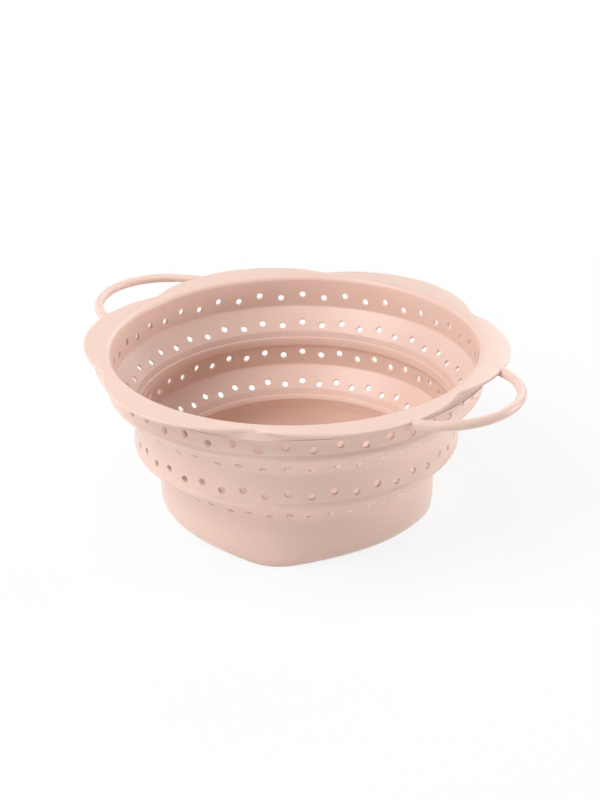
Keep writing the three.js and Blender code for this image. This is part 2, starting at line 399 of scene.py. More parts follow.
def make_mesh(name, vertices, faces):
    """A mesh in metres, with only those points that a face uses."""
    used = sorted({i for face in faces for i in face})
    number = {old: new for new, old in enumerate(used)}
    mesh = bpy.data.meshes.new(name)
    mesh.from_pydata(
        [[c * MM for c in vertices[i]] for i in used],
        [],
        [[number[i] for i in face] for face in faces],
    )
    mesh.update()
    return mesh


def turned_sector(name, section, first, turn, sides, row=None, closed=True):
    """One sector of a turned piece, whose marks are a function of the angle.

    With a row of holes, each cell of the sector has one hole, and every second is higher."""
    angles = [first + turn * i / sides for i in range(sides + 1)]
    outlines = [trace(section(angle)) for angle in angles]
    count = len(outlines[0][0])
    vertices = [
        polar(r, z, angle) for angle, (points, _) in zip(angles, outlines) for r, z in points
    ]
    starts = outlines[0][1]
    open_rows = {start + i for start in starts for i in range(CELL_SIDES)}
    faces = []
    for side in range(sides):
        for i in range(count if closed else count - 1):
            if i not in open_rows:
                here, there = side * count, (side + 1) * count
                j = (i + 1) % count
                faces.append((here + i, there + i, there + j, here + j))
    for cell in range(sides // CELL_SIDES if row else 0):
        side = cell * CELL_SIDES
        middle = angles[side + CELL_SIDES // 2]
        shift = ZIGZAG if cell % 2 else -ZIGZAG
        loops = [cell_border(side, starts[0], 1, count)]
        for radius, depth in row.rings():
            loops.append([len(vertices) + i for i in range(HOLE_SIDES)])
            for a in ring_turns():
                r, z = row.place(shift + radius * math.sin(a), depth)
                vertices.append(polar(r, z, middle + radius * math.cos(a) / r))
        loops.append(cell_border(side, starts[1] + CELL_SIDES, -1, count))
        for outer, inner in zip(loops, loops[1:]):
            faces += band(outer, inner)
    return make_mesh(name, vertices, faces)


def joined(name, meshes):
    """One mesh from several, with the points that they share made one."""
    whole = bmesh.new()
    for mesh in meshes:
        whole.from_mesh(mesh)
        bpy.data.meshes.remove(mesh)
    bmesh.ops.remove_doubles(whole, verts=whole.verts, dist=MERGE_DISTANCE)
    mesh = bpy.data.meshes.new(name)
    whole.to_mesh(mesh)
    whole.free()
    return mesh


# Node trees


def add_node(tree, kind, inputs=None, **settings):
    """Adds a node with its settings. An input is set to a value, or linked to an output."""
    node = tree.nodes.new(kind)
    for name, value in settings.items():
        setattr(node, name, value)
    for name, value in (inputs or {}).items():
        if isinstance(value, bpy.types.NodeSocket):
            tree.links.new(value, node.inputs[name])
        else:
            node.inputs[name].default_value = value
    return node


def new_tree(name, sockets):
    """An empty geometry tree and its named inputs."""
    tree = bpy.data.node_groups.new(name, "GeometryNodeTree")
    for label, kind in sockets:
        tree.interface.new_socket(label, in_out="INPUT", socket_type=f"NodeSocket{kind}")
    tree.interface.new_socket("Mesh", in_out="OUTPUT", socket_type="NodeSocketGeometry")
    return tree, add_node(tree, "NodeGroupInput").outputs


def shade_and_finish(tree, geometry, given):
    """Ends a tree: smooth faces, sharp edges past an angle, and the material."""
    smoothed = add_node(tree, "GeometryNodeSetShadeSmooth", {"Geometry": geometry})
    angle = add_node(tree, "GeometryNodeInputMeshEdgeAngle").outputs["Unsigned Angle"]
    sharp = add_node(
        tree, "FunctionNodeCompare", {0: angle, 1: given["Smooth up to"]}, operation="GREATER_THAN"
    )
    edged = add_node(
        tree,
        "GeometryNodeSetShadeSmooth",
        {
            "Geometry": smoothed.outputs["Geometry"],
            "Selection": sharp.outputs["Result"],
            "Shade Smooth": False,
        },
        domain="EDGE",
    )
    finished = add_node(
        tree,
        "GeometryNodeSetMaterial",
        {"Geometry": edged.outputs["Geometry"], "Material": given["Material"]},
    )
    add_node(tree, "NodeGroupOutput", {"Mesh": finished.outputs["Geometry"]})


def repeat_tree():
    """Repeats a sector round the Z axis and joins the copies where they touch."""
    tree, given = new_tree(
        "Repeat round the axis",
        [
            ("Sector", "Geometry"),
            ("Count", "Int"),
            ("Merge distance", "Float"),
            ("Smooth up to", "Float"),
            ("Material", "Material"),
        ],
    )
    points = add_node(tree, "GeometryNodePoints", {"Count": given["Count"]})
    index = add_node(tree, "GeometryNodeInputIndex").outputs["Index"]
    step = add_node(
        tree, "ShaderNodeMath", {0: 2 * math.pi, 1: given["Count"]}, operation="DIVIDE"
    )
    turn = add_node(tree, "ShaderNodeMath", {0: index, 1: step.outputs[0]}, operation="MULTIPLY")
    about_z = add_node(tree, "ShaderNodeCombineXYZ", {"Z": turn.outputs[0]})
    copies = add_node(
        tree,
        "GeometryNodeInstanceOnPoints",
        {
            "Points": points.outputs[0],
            "Instance": given["Sector"],
            "Rotation": about_z.outputs[0],
        },
    )
    real = add_node(
        tree, "GeometryNodeRealizeInstances", {"Geometry": copies.outputs["Instances"]}
    )
    whole = add_node(
        tree,
        "GeometryNodeMergeByDistance",
        {"Geometry": real.outputs["Geometry"], "Distance": given["Merge distance"]},
    )
    shade_and_finish(tree, whole.outputs["Geometry"], given)
    return tree


def hoop_tree():
    """A round wire bent into a level hoop."""
    tree, given = new_tree(
        "Wire hoop",
        [
            ("Empty mesh", "Geometry"),
            ("Hoop radius", "Float"),
            ("Wire radius", "Float"),
            ("Height", "Float"),
            ("Hoop sides", "Int"),
            ("Wire sides", "Int"),
            ("Smooth up to", "Float"),
            ("Material", "Material"),
        ],
    )
    path = add_node(
        tree,
        "GeometryNodeCurvePrimitiveCircle",
        {"Radius": given["Hoop radius"], "Resolution": given["Hoop sides"]},
    )
    section = add_node(
        tree,
        "GeometryNodeCurvePrimitiveCircle",
        {"Radius": given["Wire radius"], "Resolution": given["Wire sides"]},
    )
    hoop = add_node(
        tree,
        "GeometryNodeCurveToMesh",
        {"Curve": path.outputs["Curve"], "Profile Curve": section.outputs["Curve"]},
    )
    lift = add_node(tree, "ShaderNodeCombineXYZ", {"Z": given["Height"]})
    raised = add_node(
        tree,
        "GeometryNodeTransform",
        {"Geometry": hoop.outputs["Mesh"], "Translation": lift.outputs[0]},
    )
    real = add_node(
        tree, "GeometryNodeRealizeInstances", {"Geometry": raised.outputs["Geometry"]}
    )
    shade_and_finish(tree, real.outputs["Geometry"], given)
    return tree


def run_tree(tree, mesh, **values):
    """A plain mesh from a tree's result. Values are named as its inputs, with underscores."""
    holder = bpy.data.objects.new(mesh.name, mesh)
    bpy.context.scene.collection.objects.link(holder)
    modifier = holder.modifiers.new(tree.name, "NODES")
    modifier.node_group = tree
    for item in tree.interface.items_tree:
        key = item.name.replace(" ", "_").lower()
        if item.in_out == "INPUT" and key in values:
            modifier[item.identifier] = values[key]
    depsgraph = bpy.context.evaluated_depsgraph_get()
    result = bpy.data.meshes.new_from_object(
        holder.evaluated_get(depsgraph), depsgraph=depsgraph
    )
    bpy.data.objects.remove(holder)
    bpy.data.meshes.remove(mesh)
    return result


repeat_round_axis = repeat_tree()


def repeated(sector, count, material):
    return run_tree(
        repeat_round_axis,
        sector,
        count=count,
        merge_distance=MERGE_DISTANCE,
        smooth_up_to=SMOOTH_UP_TO,
        material=material,
    )


def finished_piece(name, mesh, material):
    piece = bpy.data.objects.new(name, mesh)
    bpy.context.scene.collection.objects.link(piece)
    mesh.name = name
    mesh.materials.clear()
    mesh.materials.append(material)
    return piece


# Materials


def colour(code):
    """Linear colour from an sRGB hex code."""
    levels = [int(code[i : i + 2], 16) / 255 for i in (1, 3, 5)]
    linear = [c / 12.92 if c <= 0.04045 else ((c + 0.055) / 1.055) ** 2.4 for c in levels]
    return (*linear, 1)


def per_metre(size):
    """A texture's scale on Object coordinates, from the size of its detail in millimetres."""
    return 1 / (size * MM)


def new_material(name):
    material = bpy.data.materials.new(name)
    material.use_nodes = True
    tree = material.node_tree
    tree.nodes.clear()
    place = add_node(tree, "ShaderNodeTexCoord").outputs["Object"]
    return material, tree, place


def noise(tree, place, size, detail=2, roughness=0.5):
    texture = add_node(
        tree,
        "ShaderNodeTexNoise",
        {"Vector": place, "Scale": per_metre(size), "Detail": detail, "Roughness": roughness},
    )
    return texture.outputs["Fac"]


def spread(tree, value, low, high, start=0.3, end=0.7):
    """Maps start to end onto low to high, and holds it there beyond. Left out, start and end
    mark the middle of a noise."""
    node = add_node(
        tree,
        "ShaderNodeMapRange",
        {"Value": value, "From Min": start, "From Max": end, "To Min": low, "To Max": high},
    )
    return node.outputs["Result"]


def two_tones(tree, share, first, second):
    """A colour between two sRGB hex codes: the first at share 0, the second at 1.

    The Mix node's sockets go by number, because each type of value has its own A and B."""
    node = add_node(
        tree,
        "ShaderNodeMix",
        {0: share, 6: colour(first), 7: colour(second)},
        data_type="RGBA",
    )
    return node.outputs[2]


def moulded_silicone():
    """Silicone rubber pressed in a blasted steel mould: a soft satin with no clear image in
    it, a shade deeper here and there where dust and fingers have dulled it."""
    material, tree, place = new_material("Moulded pink silicone")
    cloud = noise(tree, place, 60, detail=0)
    tint = two_tones(tree, spread(tree, cloud, 0, 1, 0.1, 0.9), "#E3C5B8", "#DFC1B4")
    dulling = spread(tree, noise(tree, place, 30, detail=1), 0.27, 0.33, 0.1, 0.9)
    # The blasted grain is about 0.1 mm and is drawn at 0.7 mm, so that it shows.
    grain = noise(tree, place, 0.7, detail=3, roughness=0.6)
    relief = add_node(
        tree, "ShaderNodeBump", {"Height": grain, "Strength": 0.05, "Distance": 0.05 * MM}
    )
    surface = add_node(
        tree,
        "ShaderNodeBsdfPrincipled",
        {
            "Base Color": tint,
            "Roughness": dulling,
            "IOR": 1.41,
            "Specular IOR Level": 0.35,
            "Normal": relief.outputs["Normal"],
        },
    )
    add_node(tree, "ShaderNodeOutputMaterial", {"Surface": surface.outputs[0]})
    return material


def drawn_steel():
    """Stainless wire, drawn and then tumbled: grey, with short dull streaks."""
    material, tree, place = new_material("Drawn stainless wire")
    streaks = noise(tree, place, 2.5, detail=4, roughness=0.7)
    tint = two_tones(tree, spread(tree, streaks, 0, 1), "#B4B7BA", "#9EA1A5")
    surface = add_node(
        tree,
        "ShaderNodeBsdfPrincipled",
        {
            "Base Color": tint,
            "Metallic": 1,
            "Roughness": spread(tree, streaks, 0.28, 0.42),
        },
    )
    add_node(tree, "ShaderNodeOutputMaterial", {"Surface": surface.outputs[0]})
    return material


silicone = moulded_silicone()
steel = drawn_steel()


# Camera


def add_camera():
    data = bpy.data.cameras.new("camera")
    data.sensor_width = SENSOR_WIDTH
    data.lens = FOCAL_PIXELS / IMAGE_HEIGHT * data.sensor_width
    camera = bpy.data.objects.new("camera", data)
    bpy.context.scene.collection.objects.link(camera)
    level = math.cos(VIEW_ELEVATION)
    back = Vector(
        (
            math.sin(VIEW_AZIMUTH) * level,
            -math.cos(VIEW_AZIMUTH) * level,
            math.sin(VIEW_ELEVATION),
        )
    )
    right = Vector((math.cos(VIEW_AZIMUTH), math.sin(VIEW_AZIMUTH), 0))
    axes = Matrix((right, back.cross(right), back)).transposed().to_4x4()
    place = Matrix.Translation((VIEW_TARGET + back * VIEW_DISTANCE) * MM)
    camera.matrix_world = place @ axes @ Matrix.Rotation(VIEW_ROLL, 4, "Z")
    data.clip_start = CLIP_START
    bpy.context.scene.camera = camera


add_camera()


# Rings and folds


def lobe_share(angle):
    """How far the lobes stand out, from 0 in a notch to 1 on a lobe."""
    return abs(math.sin(LOBES * angle / 2)) ** LOBE_FULLNESS


def lobe_edge(angle):
    return mix(rim_bead_radius - NOTCH_SET_IN, lobe_radius, lobe_share(angle))


def flange_top(r):
    share = (lobe_radius - r) / FLANGE_WIDTH
    return rim_height + FLANGE_RISE - FLANGE_SAG * share * share


class Fold:
    """Sizes of a conical fold between the ring above and the ring below."""

    def __init__(self, upper, lower, low, high, seat, lower_top, lip, band_rise):
        self.seam_low = (low.z + lower_top) / 2
        self.seam_high = (high.z + seat) / 2
        self.head = (upper + WALL / 2, high.z)
        self.foot = (lower + WALL / 2, low.z)
        run, rise = upper - lower, high.z - low.z
        self.slope = run / rise
        self.lean = math.atan2(run, rise)
        self.half = FOLD_WALL / math.cos(self.lean) / 2
        self.row = HoleRow(self.head, self.foot, FOLD_WALL)
        self.upper = upper
        self.lip = [(lower + out, lower_top + up) for out, up in lip]
        band_top = lower_top + band_rise
        self.band_top = (self.inside(band_top), band_top)
        ledge = self.lip[0]
        share = (self.seam_low - ledge[1]) / (band_top - ledge[1])
        self.hinge = mix_points(ledge, self.band_top, share)

    def outside(self, z):
        return self.foot[0] + self.half + (z - self.foot[1]) * self.slope

    def inside(self, z):
        return self.outside(z) - 2 * self.half

    def join(self, below):
        """The round that joins the fold's outside to the wall below it, as far up as
        the seam or from there on."""
        r, z = self.foot[0] + self.half, self.foot[1]
        centre = (r + JOIN_ROUND, z - JOIN_ROUND * math.tan(self.lean / 2))
        seam = math.asin((self.seam_low - centre[1]) / JOIN_ROUND)
        start, end = (0, seam) if below else (seam, self.lean)
        radii = (-JOIN_ROUND, JOIN_ROUND)
        return arc_points(centre, radii, start, end, CORNER_STEPS)

    def crease(self, above):
        """The round inside that joins the fold to the wall above it, down to the seam or
        from there on."""
        corner_z = self.foot[1] + (self.upper - self.inside(self.foot[1])) / self.slope
        centre = (
            self.upper - CREASE_ROUND,
            corner_z + CREASE_ROUND * math.tan(self.lean / 2),
        )
        seam = math.asin((self.seam_high - centre[1]) / CREASE_ROUND)
        start, end = (0, seam) if above else (seam, -self.lean)
        return arc_points(centre, (CREASE_ROUND, CREASE_ROUND), start, end, CORNER_STEPS)

    def marks(self, _):
        above = (self.outside(self.seam_high), self.seam_high)
        outer_run, inner_run = self.row.run(True), self.row.run(False)
        join, crease = self.join(below=False), self.crease(above=False)
        return [
            self.hinge,
            *join,
            *steps_between(join[-1], outer_run[0], JOIN_TO_HOLES_STEPS),
            outer_run,
            *steps_between(outer_run[-1], above, HOLES_TO_SEAM_STEPS),
            above,
            *crease,
            *steps_between(crease[-1], inner_run[0], CREASE_TO_HOLES_STEPS),
            inner_run,
            (*self.band_top, HINGE_ROUND),
        ]


upper_fold = Fold(
    opening_radius,
    middle_radius,
    upper_fold_low,
    upper_fold_high,
    upper_seat,
    middle_high.z,
    MIDDLE_LIP,
    MIDDLE_BAND,
)
lower_fold = Fold(
    middle_radius,
    base_radius,
    lower_fold_low,
    lower_fold_high,
    lower_seat,
    base_high.z,
    BASE_LIP,
    BASE_BAND,
)


def bead_foot(inner, seat, fold):
    """The foot of a ring over a fold, from the crease inside to the top of its bead."""
    outer = inner + WALL
    proud = outer + BEAD_PROUD
    low = seat - BEAD_BELOW
    top = seat + BEAD_ABOVE
    return [
        (fold.outside(fold.seam_high), fold.seam_high),
        (fold.outside(low) + SKIN_CLEARANCE, low),
        (proud, low, BEAD_ROUND),
        (proud, top - BEAD_SLOPE, BEAD_ROUND),
        (outer, top, BEAD_ROUND),
    ]


def lip_head(fold):
    """The head of a ring under a fold, from its outside to the foot of its lip."""
    lip = [(*corner, radius) for corner, radius in zip(fold.lip, LIP_ROUNDS)]
    return [*fold.join(below=True), fold.hinge, *lip]


def wall_row(inner, head, foot, below, above):
    middle = inner + WALL / 2
    return HoleRow((middle, head), (middle, foot), WALL, below, above)


# Middle ring

middle_row = wall_row(middle_radius, middle_high.z, lower_seat, CELL_REACH, CELL_REACH)


def middle_marks(_):
    return [
        *bead_foot(middle_radius, lower_seat, lower_fold),
        middle_row.run(True),
        *lip_head(upper_fold),
        middle_row.run(False),
        *lower_fold.crease(above=True),
    ]


# Rim ring

rim_row = wall_row(opening_radius, rim_height, upper_seat, RIM_CELL_BELOW, CELL_REACH)


def flange_edge(angle):
    """The flange's edge, from the bead's face up to the top.

    On a lobe a thin lip stands out over the bead. In a notch there is no lip: the bead's
    face stands up to its knee and leans in to a rounder edge."""
    tip = lobe_edge(angle)
    top = flange_top(tip)
    bead = rim_bead_radius
    underside = flange_top(bead) - FLANGE_THICKNESS
    low_edge = top - FLANGE_THICKNESS
    inward = tip - EDGE_ROUND
    hollow = min(UNDERSIDE_ROUND, HOLLOW_SHARE * max(inward - bead, 0))
    start = (bead, underside - hollow)
    below = arc_points(
        (bead + hollow, underside - hollow),
        (hollow, hollow),
        math.pi,
        math.pi / 2,
        CORNER_STEPS,
    )
    shown = smooth((tip - bead) / EDGE_FADE)
    rounds = (EDGE_ROUND, EDGE_ROUND)
    top_round = mix(NOTCH_EDGE_ROUND, EDGE_ROUND, shown)
    lower_edge = arc_points(
        (inward, low_edge + EDGE_ROUND), rounds, -math.pi / 2, 0, CORNER_STEPS
    )
    upper_edge = arc_points(
        (tip - top_round, top - top_round), (top_round, top_round), 0, math.pi / 2, CORNER_STEPS
    )
    lip = [start, *below[1:], mix_points(below[-1], lower_edge[0], 0.5), *lower_edge]
    foot = (bead, rim_height - RIM_BEAD_DEPTH + 2 * RIM_BEAD_ROUND)
    knee = (bead, groove_top + NOTCH_KNEE)
    face = [foot, *steps_between(foot, knee, NOTCH_FACE_STEPS), knee]
    face += steps_between(knee, upper_edge[0], len(lip) - len(face) + 1)
    return [mix_points(a, b, shown) for a, b in zip(face, lip)] + upper_edge


def rim_marks(angle):
    outer = opening_radius + WALL
    bead_low = rim_height - RIM_BEAD_DEPTH
    root_low = rim_height - RIM_ROOT_DEPTH
    groove = hoop_high.z - hoop_low.z + 2 * GROOVE_CLEARANCE
    groove_in, groove_out = hoop_radius - groove / 2, hoop_radius + groove / 2

    def underside(r):
        return mix(root_low + WALL, bead_low, (r - outer) / (rim_bead_radius - outer))

    edge = flange_edge(angle)
    crown = (opening_radius + CROWN_SET_OUT, flange_top(opening_radius + CROWN_SET_OUT))
    top = steps_between(edge[-1], crown, FLANGE_STEPS)
    top = [(r, flange_top(r)) for r, _ in top]
    return [
        *bead_foot(opening_radius, upper_seat, upper_fold),
        rim_row.run(True),
        (outer, root_low, RIM_ROOT_ROUND),
        (groove_in, underside(groove_in), GROOVE_ROUND),
        (groove_in, groove_top, GROOVE_ROUND),
        (groove_out, groove_top, GROOVE_ROUND),
        (groove_out, underside(groove_out), GROOVE_ROUND),
        (rim_bead_radius, bead_low, RIM_BEAD_ROUND),
        *edge,
        *top,
        crown,
        (opening_radius, flange_top(opening_radius), INNER_EDGE_ROUND),
        rim_row.run(False),
        *upper_fold.crease(above=True),
    ]


# Base cup

foot_side_turn = 2 * math.pi / FOOT_SIDES
floor_top = FOOT_HEIGHT + FLOOR_THICKNESS


def square_radius(half_width, angle):
    across = abs(math.cos(angle - FOOT_TURN)) ** FOOT_SQUARENESS
    along = abs(math.sin(angle - FOOT_TURN)) ** FOOT_SQUARENESS
    return half_width * (across + along) ** (-1 / FOOT_SQUARENESS)


def foot_lift(angle):
    """Height of the foot's underside: raised in the gap on each flat side."""
    half = foot_side_turn / 2
    off = (angle - FOOT_TURN + half) % foot_side_turn - half
    aside = abs(FOOT_HALF_WIDTH * math.tan(off))
    return GAP_LIFT * FOOT_HEIGHT if aside < FOOT_GAP / 2 else 0


def base_marks(angle):
    outer = base_radius + WALL
    lift = foot_lift(angle)
    foot = square_radius(FOOT_HALF_WIDTH, angle)
    recess = square_radius(FOOT_HALF_WIDTH - FOOT_WIDTH, angle)
    ceiling = square_radius(FOOT_HALF_WIDTH - FOOT_WIDTH - FOOT_HEIGHT, angle)
    inside = square_radius(FOOT_HALF_WIDTH - WALL, angle)
    outer_round = arc_points(
        (foot, OUTER_ROUND_RISE),
        (outer - foot, OUTER_ROUND_RISE),
        -math.pi / 2,
        0,
        ROUND_STEPS,
    )
    inner_round = arc_points(
        (inside, floor_top + INNER_ROUND_RISE),
        (base_radius - inside, INNER_ROUND_RISE),
        0,
        -math.pi / 2,
        ROUND_STEPS,
    )
    return [
        (FLOOR_RADIUS, FOOT_HEIGHT),
        (ceiling - FOOT_SUPPORT, FOOT_HEIGHT),
        (ceiling, FOOT_HEIGHT),
        (recess, lift),
        (recess + FOOT_SUPPORT, lift),
        *((r, max(z, lift)) for r, z in outer_round),
        *lip_head(lower_fold),
        *inner_round,
        (FLOOR_RADIUS, floor_top),
    ]


def floor_rows():
    """Distance from the middle and number of holes of each ring of floor holes."""
    return [
        (row * FLOOR_PITCH, max(1, FLOOR_ROW_HOLES * row)) for row in range(FLOOR_ROWS + 1)
    ]


floor_row = HoleRow((0, floor_top), (0, FOOT_HEIGHT), FLOOR_THICKNESS)


def floor_collar(distance):
    """The rounded wall of one floor hole, at a distance from the middle."""
    middle = (floor_top + FOOT_HEIGHT) / 2
    vertices, loops = [], []
    for radius, depth in floor_row.rings():
        loops.append([len(vertices) + i for i in range(HOLE_SIDES)])
        for a in ring_turns():
            x, y = distance + radius * math.cos(a), radius * math.sin(a)
            turned = Matrix.Rotation(FOOT_TURN, 2) @ Vector((x, y))
            vertices.append((*turned, middle + depth))
    faces = [face for a, b in zip(loops, loops[1:]) for face in band(a, b)]
    return make_mesh("floor_collar", vertices, faces)


def floor_plates():
    """The flat top and underside of the floor, with an opening round each hole."""
    points, edges, middles = [], [], []

    def add_loop(loop):
        start = len(points)
        points.extend(loop)
        count = len(loop)
        edges.extend((start + i, start + (i + 1) % count) for i in range(count))

    start = FOOT_TURN - foot_side_turn / 2
    turns = [start + 2 * math.pi * i / BASE_SIDES for i in range(BASE_SIDES)]
    add_loop([FLOOR_RADIUS * Vector((math.cos(a), math.sin(a))) for a in turns])
    opening = floor_row.rings()[0][0]
    for distance, count in floor_rows():
        for i in range(count):
            turn = Matrix.Rotation(FOOT_TURN + 2 * math.pi * i / count, 2)
            middle = turn @ Vector((distance, 0))
            middles.append(middle)
            rim = [turn @ Vector((math.cos(a), math.sin(a))) for a in ring_turns()]
            add_loop([middle + opening * way for way in rim])
    flat, _, triangles, *_ = delaunay_2d_cdt(points, edges, [], TRIANGLES_INSIDE, FLAT_TOLERANCE)
    # A triangle that spans a hole has its middle nearer the hole's than any side of the rim.
    rim_near = opening * math.cos(math.pi / HOLE_SIDES)

    def is_solid(face):
        middle = sum((flat[i] for i in face), Vector((0, 0))) / len(face)
        return all((middle - hole).length > rim_near for hole in middles)

    triangles = [face for face in triangles if is_solid(face)]
    upper = [(*point, floor_top) for point in flat]
    lower = [(*point, FOOT_HEIGHT) for point in flat]
    count = len(flat)
    faces = [tuple(face) for face in triangles]
    faces += [tuple(count + i for i in reversed(face)) for face in triangles]
    return make_mesh("floor_plates", upper + lower, faces)


def base_mesh():
    wall = turned_sector(
        "base_wall",
        base_marks,
        FOOT_TURN - foot_side_turn / 2,
        foot_side_turn,
        BASE_SIDES // FOOT_SIDES,
        closed=False,
    )
    parts = [repeated(wall, FOOT_SIDES, silicone), floor_plates()]
    for distance, count in floor_rows():
        parts.append(repeated(floor_collar(distance), count, silicone))
    return joined("base_cup", parts)


# Pieces of the moulding

first_cell = -column_turn / 2


def two_columns(name, marks, row):
    sector = turned_sector(name, marks, first_cell, 2 * column_turn, 2 * CELL_SIDES, row)
    return repeated(sector, COLUMNS // 2, silicone)


base_piece = finished_piece("base_cup_moulding", base_mesh(), silicone)
base_piece.data.shade_smooth()
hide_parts("base_cup")
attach(base_piece, "base")

lower_piece = finished_piece(
    "lower_fold_moulding",
    two_columns("lower_fold", lower_fold.marks, lower_fold.row),
    silicone,
)
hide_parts("lower_fold")
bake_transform(lower_piece)

middle_piece = finished_piece(
    "middle_ring_moulding",
    two_columns("middle_ring", middle_marks, middle_row),
    silicone,
)
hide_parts("middle_ring")
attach(middle_piece, "middle")

upper_piece = finished_piece(
    "upper_fold_moulding",
    two_columns("upper_fold", upper_fold.marks, upper_fold.row),
    silicone,
)
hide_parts("upper_fold")
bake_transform(upper_piece)

lobe_columns = COLUMNS // LOBES
rim_sector = turned_sector(
    "rim_ring",
    rim_marks,
    first_cell,
    lobe_columns * column_turn,
    lobe_columns * CELL_SIDES,
    rim_row,
)
rim_piece = finished_piece(
    "rim_ring_moulding", repeated(rim_sector, LOBES, silicone), silicone
)
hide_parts("rim_ring")
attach(rim_piece, "rim")


# Hoop and wires

hoop_mesh = run_tree(
    hoop_tree(),
    bpy.data.meshes.new("rim_hoop"),
    hoop_radius=hoop_radius * MM,
    wire_radius=(hoop_high.z - hoop_low.z) / 2 * MM,
    height=(hoop_high.z + hoop_low.z) / 2 * MM,
    hoop_sides=BASE_SIDES // 2,
    wire_sides=HOOP_WIRE_SIDES,
    smooth_up_to=SMOOTH_UP_TO,
    material=steel,
)
hoop_piece = finished_piece("steel_hoop", hoop_mesh, steel)
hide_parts("rim_hoop")
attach(hoop_piece, "rim")

for name in ("handle_wire_right", "handle_wire_left"):
    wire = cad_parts[name]
    wire.data.materials.clear()
    wire.data.materials.append(steel)


# Handles

handle_centre = opening_radius - HANDLE_SET_BACK
handle_reach = handle_centre + HANDLE_RADIUS


def handle_point(turn):
    x = handle_centre + HANDLE_RADIUS * math.cos(turn)
    z = rim_height + HANDLE_LIFT - HANDLE_SLOPE * (handle_reach - x)
    return Vector((x, HANDLE_RADIUS * math.sin(turn), z))


def beyond_edge(turn):
    """How far a point on the handle's line lies outside the flange."""
    point = handle_point(turn)
    return math.hypot(point.x, point.y) - lobe_edge(math.atan2(point.y, point.x))


def turn_at(beyond):
    """Where on the handle's arc it is that far outside the flange."""
    low, high = 0, HANDLE_TURN_LIMIT
    for _ in range(HANDLE_BISECTIONS):
        middle = (low + high) / 2
        if beyond_edge(middle) > beyond:
            low = middle
        else:
            high = middle
    return low


def root_share(beyond):
    """1 where a leg enters the flange, and 0 from the root's length outwards."""
    return 1 - smooth(beyond / ROOT_LENGTH)


def grip_section(share, set_back, depth):
    """Corners of the grip's section, as distances out and up from its middle line.

    Near the flange the section is squarer, so that its top runs on flush. The strip
    below the lap line is set back, and the corner next to the line by the slot's depth."""
    power = 2 / mix(2, ROOT_SQUARENESS, share)
    line = (-LAP_LINE, math.pi + LAP_LINE)
    plain = [2 * math.pi * i / GRIP_SIDES for i in range(GRIP_SIDES)]
    step = 2 * math.pi / GRIP_SIDES / LAP_PARTS
    near = 2 * step
    spots = []
    for a in plain:
        low = line[1] + near < a < 2 * math.pi + line[0] - near
        if low or not line[1] - near < a < 2 * math.pi + line[0] + near:
            spots.append((a, set_back if low else 0))
    for at, way in ((line[1], 1), (line[0] + 2 * math.pi, -1)):
        spots += [(at, 0), (at + way * step, max(set_back, depth)), (at + way * near, depth)]
    corners = []
    for a, inward in sorted(spots):
        c, s = math.cos(a), math.sin(a)
        radius = GRIP_RADIUS - inward
        corners.append(
            (
                radius * math.copysign(abs(c) ** power, c),
                radius * math.copysign(abs(s) ** power, s),
            )
        )
    return corners


def grip_mesh(name, turn_round):
    """A round rod on the handle's arc, with its legs let into the flange."""
    lap, end = turn_at(LAP_LENGTH), turn_at(-GRIP_SUNK)
    slot = SLOT_LENGTH / HANDLE_RADIUS
    fine = slot / LEG_STEPS
    middle = [mix(fine - lap, lap - fine, i / GRIP_STEPS) for i in range(GRIP_STEPS + 1)]
    leg = [lap, lap + fine, lap + slot - fine, lap + slot]
    leg += [mix(lap + slot, end, i / LEG_STEPS) for i in range(1, LEG_STEPS + 1)]
    vertices, loops = [], []
    for turn in [-turn for turn in reversed(leg)] + middle + leg:
        beyond = beyond_edge(abs(turn))
        share = root_share(beyond)
        sunk = smooth((-beyond - GRIP_SINKS_FROM) / GRIP_SINKS_OVER)
        lapped = abs(turn) > lap
        slotted = lap < abs(turn) < lap + slot - fine / 2
        set_back = LAP_SET_BACK if lapped else 0
        section = grip_section(share, set_back, SLOT_DEPTH if slotted else set_back)
        centre = handle_point(turn)
        ahead = handle_point(turn + HANDLE_TURN_STEP) - handle_point(turn - HANDLE_TURN_STEP)
        ahead.normalize()
        out = ahead.cross(Vector((0, 0, 1))).normalized()
        up = out.cross(ahead)
        loops.append([len(vertices) + i for i in range(len(section))])
        for across, rise in section:
            point = centre + across * out + (rise + share * ROOT_PROUD) * up
            floor = flange_top(math.hypot(point.x, point.y)) - GRIP_FLOOR_SHARE * FLANGE_THICKNESS
            point.z = max(point.z, mix(point.z, floor, sunk))
            vertices.append(tuple(Matrix.Rotation(turn_round, 3, "Z") @ point))
    faces = [face for a, b in zip(loops, loops[1:]) for face in band(b, a)]
    faces += [tuple(loops[0]), tuple(reversed(loops[-1]))]
    return make_mesh(name, vertices, faces)


def socket_mesh(name, turn_round, side):
    """The block under the flange that holds the end of a handle's wire."""
    half = SOCKET_WIDTH / 2
    low = rim_height - SOCKET_DEPTH
    high = flange_top(rim_bead_radius) - FLANGE_THICKNESS / 2
    corner = SOCKET_ROUND * (1 - math.sqrt(0.5))
    outline = (
        (SOCKET_ROUND, low),
        (corner, low + corner),
        (0, low + SOCKET_ROUND),
        (0, high),
    )
    vertices, loops = [], []
    for inset, z in outline:
        loops.append([len(vertices) + i for i in range(4)])
        for across, outward in ((-1, False), (-1, True), (1, True), (1, False)):
            y = HANDLE_RADIUS * side + across * (half - inset)
            tip = lobe_edge(math.atan2(y, rim_bead_radius)) - SOCKET_SET_IN - inset
            reach = tip if outward else rim_bead_radius - SOCKET_SUNK
            x = math.sqrt(reach * reach - y * y)
            vertices.append(tuple(Matrix.Rotation(turn_round, 3, "Z") @ Vector((x, y, z))))
    faces = [face for a, b in zip(loops, loops[1:]) for face in band(a, b)]
    faces += [tuple(reversed(loops[0])), tuple(loops[-1])]
    return make_mesh(name, vertices, faces)


